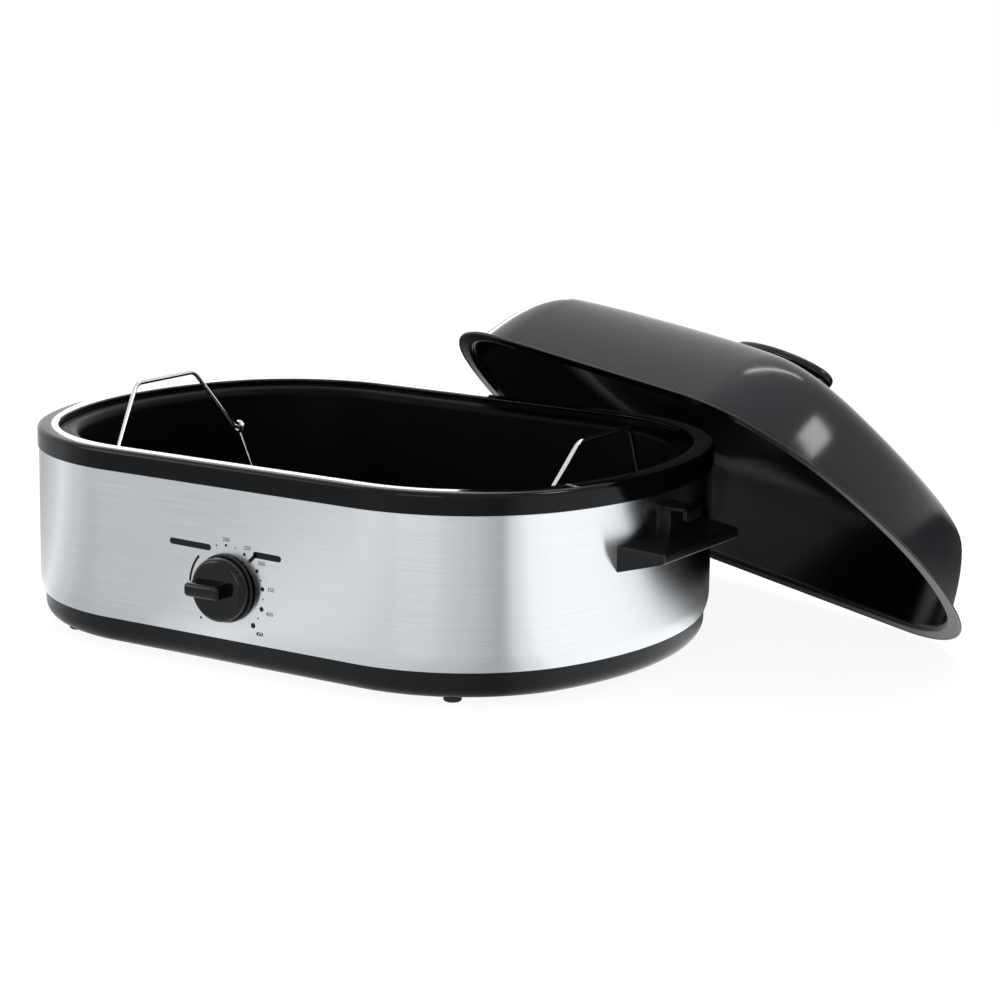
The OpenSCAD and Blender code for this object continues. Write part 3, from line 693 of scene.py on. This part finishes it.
# Brings the dome under a long arch that falls towards its ends by the square of the share of the half
# length. The two heights are blended where they cross: less by blend times share times (1 - share).
def crowned(points):
    reach = oven["halfLength"] - lid["edge"] - lid["flange"]
    height = points[..., 2]
    arch = lid["crown"] - lid["fall"] * (points[..., 0] / reach) ** 2
    share = np.clip(0.5 + 0.5 * (arch - height) / lid["blend"], 0, 1)
    under = arch * (1 - share) + height * share - lid["blend"] * share * (1 - share)
    return np.concatenate([points[..., :2], under[..., None]], -1)


# From the flange's edge to the middle of the crown, at one face of the sheet: flat flange, fillet, dome, and
# a crown drawn to the middle line that rises by draw times (2 - draw).
def lidProfile(lift):
    wall = lid["edge"] + lid["flange"]
    grow = lid["sheet"] if lift > 0 else 0
    flat = np.linspace(lid["edge"] + lid["flangeStart"], wall - lid["fillet"] - lid["flangeEnd"], 4)
    flange = asProfile(np.c_[flat, np.full_like(flat, lift)])
    middle = (-wall + lid["fillet"] - grow, lift + lid["fillet"])
    fillet = asProfile(arc(middle, lid["fillet"], 270, 190, 8) * [-1, 1])
    run = lid["run"] * np.linspace(lid["domeFrom"], lid["domeTo"], lid["domeRows"]) ** lid["domeCrowding"]
    dome = asProfile(np.c_[wall - grow + run, lift + np.maximum(domeHeight(run), lid["domeLow"])])
    inset, height, _ = dome[-1]
    draw = np.linspace(0, 1, lid["crownRows"] + 1)[1:]
    rise = (lid["height"] + lift - height) * draw * (2 - draw)
    crown = np.c_[np.full_like(draw, inset), height + rise, draw]
    return np.vstack([flange, fillet, dome, crown])


# One pressed sheet: the underside from the middle outwards, a rolled edge, then the top back to the middle.
def lidShell():
    under, over = lidProfile(0), lidProfile(lid["sheet"])
    bead = asProfile(arc((-lid["edge"] - lid["bead"], lid["sheet"] / 2), lid["bead"], -60, 60, 7) * [-1, 1])
    inner = crowned(wrapRound(under[::-1]))
    lift = [0, 0, lid["sheet"]]
    outer = crowned(wrapRound(over) - lift) + lift
    shell = gridMesh("lidShell", leaning(np.concatenate([inner, wrapRound(bead), outer])))
    shell.data.materials.append(finishes["lid_enamel"])
    # the underside takes the darker copy of the enamel, as painted shade inside the dome
    shell.data.materials.append(lidShadedUnderside)
    side = np.zeros(len(shell.data.polygons), np.int32)
    side[:(len(under) - 1) * len(plan)] = 1       # the faces of the underside come first
    shell.data.polygons.foreach_set("material_index", side)
    return shell


dress(lidShell(), "lid", None, "lid_enamel", "lid_shell")


grip = {
    "halfLength": 59 * mm, "halfWidth": 25.5 * mm, "top": 128 * mm, "thick": 8 * mm,
    "lowRound": 2.5 * mm, "topRound": 4 * mm,
    "faceInsets": (25.4 * mm, 17 * mm, 8 * mm),              # rows across the two flat faces
    "lowRise": (1.5 * mm, 1 * mm, 0.3 * mm), "topSink": (0.1 * mm, 0, 0),
}


# An oval cap: each row is an ellipse drawn in by the profile, from the middle underneath round to the top.
def lidGrip():
    low, high = grip["top"] - grip["thick"], grip["top"]
    small, large = grip["lowRound"], grip["topRound"]
    edge = np.vstack([arc((-small, low + small), small, -90, 0, 7),
                      arc((-large, high - large), large, 0, 90, 9)])
    faceInsets = np.array(grip["faceInsets"])
    inset = np.r_[faceInsets, -edge[:, 0], faceInsets[::-1]]
    height = np.r_[low + np.array(grip["lowRise"]), edge[:, 1], high - np.array(grip["topSink"])]
    turn = np.linspace(0, 2 * np.pi, 96, endpoint=False)
    x = (grip["halfLength"] - inset[:, None]) * np.cos(turn)
    y = (grip["halfWidth"] - inset[:, None]) * np.sin(turn)
    points = np.stack([x, y, height[:, None] + 0 * x], -1)
    start, end = points[:1] * [1, 0, 1], points[-1:] * [1, 0, 1]
    return gridMesh("lidGrip", leaning(np.concatenate([start, points, end])))


dress(lidGrip(), "lid", finishes["knob_plastic"], "knob_plastic", "lid_handle")
print("lid made")


studio = {
    "floorColour": (0.85, 0.85, 0.86), "floorSize": 60, "cameraShare": 0.8, "cameraWhite": 1.15,
    "skyLight": 0.45,
    "panelTint": (0.97, 0.99, 1),
    # direction round the oven in degrees and the panel's brightness there
    "panels": [(-180, 0.72), (-172, 0.85), (-160, 1.14), (-148, 0.85), (-136, 0.68), (-124, 0.73),
               (-117, 0.76), (-112, 0.9), (-106, 1.02), (-100, 1.1), (-88, 1.0), (-75, 0.91), (-58, 0.88),
               (-46, 0.77), (-34, 0.57), (-27, 1.1), (-21, 1.42), (-8, 1.5), (8, 1.5), (18, 1.4),
               (26, 0.95), (31, 0.5), (36, 0.27), (42, 0.16), (50, 0.09), (70, 0.06), (95, 1.0),
               (146, 0.7), (170, 0.6), (180, 0.72)],
}


# A grey that depends on the direction round the oven, in degrees from its right end: the studio's strip
# panels, as a gloss would show them.
def roundAbout(tree, place, levels):
    parts = tree.nodes.new("ShaderNodeSeparateXYZ")
    tree.links.new(place, parts.inputs["Vector"])
    angle = tree.nodes.new("ShaderNodeMath")
    angle.operation = "ARCTAN2"
    tree.links.new(parts.outputs["Y"], angle.inputs[0])
    tree.links.new(parts.outputs["X"], angle.inputs[1])
    share = tree.nodes.new("ShaderNodeMapRange")
    share.inputs["From Min"].default_value = -np.pi
    share.inputs["From Max"].default_value = np.pi
    tree.links.new(angle.outputs["Value"], share.inputs["Value"])
    tones = tree.nodes.new("ShaderNodeValToRGB")
    tones.color_ramp.interpolation = "EASE"
    stops = tones.color_ramp.elements
    while len(stops) < len(levels):
        stops.new(0.5)
    for stop, (degrees, level) in zip(stops, levels):
        stop.position = (degrees + 180) / 360
        stop.color = (*(level * tint for tint in studio["panelTint"]), 1)
    tree.links.new(share.outputs["Result"], tones.inputs["Fac"])
    return tones.outputs["Color"]


# Pale matte floor: plain white where it is seen straight, less its shadows, and in a gloss the strip panels.
def stageFloor():
    material = bpy.data.materials.new("stageFloor")
    material.use_nodes = True
    tree = material.node_tree
    tree.nodes.clear()
    out = tree.nodes.new("ShaderNodeOutputMaterial")
    matte = tree.nodes.new("ShaderNodeBsdfDiffuse")
    matte.inputs["Color"].default_value = (*studio["floorColour"], 1)
    surface = matte.outputs["BSDF"]
    ray = tree.nodes.new("ShaderNodeLightPath")
    place = tree.nodes.new("ShaderNodeTexCoord").outputs["Object"]
    for kind, share, strength in (("Is Camera Ray", studio["cameraShare"], studio["cameraWhite"]),
                                  ("Is Glossy Ray", 1, 1)):
        factor = tree.nodes.new("ShaderNodeMath")
        factor.operation = "MULTIPLY"
        factor.inputs[1].default_value = share
        tree.links.new(ray.outputs[kind], factor.inputs[0])
        glow = tree.nodes.new("ShaderNodeEmission")
        glow.inputs["Strength"].default_value = strength
        if kind == "Is Glossy Ray":
            tree.links.new(roundAbout(tree, place, studio["panels"]), glow.inputs["Color"])
        mix = tree.nodes.new("ShaderNodeMixShader")
        tree.links.new(factor.outputs["Value"], mix.inputs["Fac"])
        tree.links.new(surface, mix.inputs[1])
        tree.links.new(glow.outputs["Emission"], mix.inputs[2])
        surface = mix.outputs["Shader"]
    tree.links.new(surface, out.inputs["Surface"])
    return material


# A flat square under everything.
def floorSheet():
    half = studio["floorSize"] / 2
    mesh = bpy.data.meshes.new("floor")
    corners = [(-half, -half, 0), (half, -half, 0), (half, half, 0), (-half, half, 0)]
    mesh.from_pydata(corners, [], [(0, 1, 2, 3)])
    mesh.materials.append(stageFloor())
    linked("floor", mesh)


# White where the camera or a gloss sees it, and dimmer as a light.
def studioSky():
    world = bpy.data.worlds.new("studio")
    bpy.context.scene.world = world
    world.use_nodes = True
    tree = world.node_tree
    ray = tree.nodes.new("ShaderNodeLightPath")
    seen = tree.nodes.new("ShaderNodeMath")
    seen.operation = "MAXIMUM"
    tree.links.new(ray.outputs["Is Camera Ray"], seen.inputs[0])
    tree.links.new(ray.outputs["Is Glossy Ray"], seen.inputs[1])
    level = tree.nodes.new("ShaderNodeMapRange")
    level.inputs["To Min"].default_value = studio["skyLight"]
    level.inputs["To Max"].default_value = 1.0
    tree.links.new(seen.outputs["Value"], level.inputs["Value"])
    tree.links.new(level.outputs["Result"], tree.nodes["Background"].inputs["Strength"])
    tree.nodes["Background"].inputs["Color"].default_value = (1, 1, 1, 1)


# places and sizes in metres, powers in watts; the strips light nothing and only show in a gloss
lamps = {
    "topLight": {"place": (-0.2, 0.5, 1.9), "target": (0.1, 0.1, 0.1), "size": (1.6, 1.0), "power": 22,
                 "inGloss": False},
    "leftLight": {"place": (-1.7, -1.5, 1.2), "target": (0, 0, 0.1), "size": (1.0, 1.4), "power": 12},
    "frontLight": {"place": (0.5, -2.6, 0.9), "target": (0.1, 0, 0.1), "size": (1.2, 1.2), "power": 10},
    "crownStrip": {"place": (-0.1, 1.17, 2.03), "target": (0.34, 0.04, 0.24), "size": (1.1, 0.09), "power": 5,
                   "inDiffuse": False},
    "wallStrip": {"place": (1.69, 0.22, 1.71), "target": (0.37, 0.02, 0.2), "size": (0.55, 0.62), "power": 15,
                  "inDiffuse": False},
    "rimStrip": {"place": (-1.88, 2.48, 0.68), "target": (-0.1, 0.15, 0.16), "size": (0.95, 0.35),
                 "power": 3.8, "inDiffuse": False},
}


# A rectangular lamp that faces its target, with its width level.
def softLight(name, place, target, size, power, inGloss=True, inDiffuse=True):
    lamp = bpy.data.lights.new(name, "AREA")
    lamp.shape = "RECTANGLE"
    lamp.size, lamp.size_y = size
    lamp.energy = power
    holder = linked(name, lamp)
    place, target = np.asarray(place, float), np.asarray(target, float)
    back = (place - target) / np.linalg.norm(place - target)
    right = np.cross([0, 0, 1], back)
    right /= np.linalg.norm(right)
    up = np.cross(back, right)
    rows = [[right[k], up[k], back[k], place[k]] for k in range(3)]
    holder.matrix_world = Matrix(rows + [[0, 0, 0, 1]])
    holder.visible_glossy = inGloss
    holder.visible_diffuse = inDiffuse


shot = {"yaw": 0.5635, "pitch": 0.2079, "roll": 0.0166,      # radians
        "place": (1.288872, -1.844499, 0.579941), "lens": 100.17, "sensor": 36, "nearest": 0.05}


# Looks along the yaw and down by the pitch, with the small roll of the picture.
def photoCamera():
    yaw, pitch, roll = shot["yaw"], shot["pitch"], shot["roll"]
    ahead = np.array([-np.sin(yaw) * np.cos(pitch), np.cos(yaw) * np.cos(pitch), -np.sin(pitch)])
    level = np.array([np.cos(yaw), np.sin(yaw), 0])
    upright = np.cross(level, ahead)
    right = level * np.cos(roll) + upright * np.sin(roll)
    up = -level * np.sin(roll) + upright * np.cos(roll)
    lens = bpy.data.cameras.new("photoCamera")
    lens.lens = shot["lens"]
    lens.sensor_width = shot["sensor"]
    lens.sensor_fit = "HORIZONTAL"
    lens.clip_start = shot["nearest"]
    camera = linked("photoCamera", lens)
    rows = [[right[k], up[k], -ahead[k], shot["place"][k]] for k in range(3)]
    camera.matrix_world = Matrix(rows + [[0, 0, 0, 1]])
    bpy.context.scene.camera = camera


floorSheet()
studioSky()
for name, lamp in lamps.items():
    softLight(name, **lamp)
photoCamera()
bpy.context.scene.view_settings.view_transform = "Standard"
print("stage set")
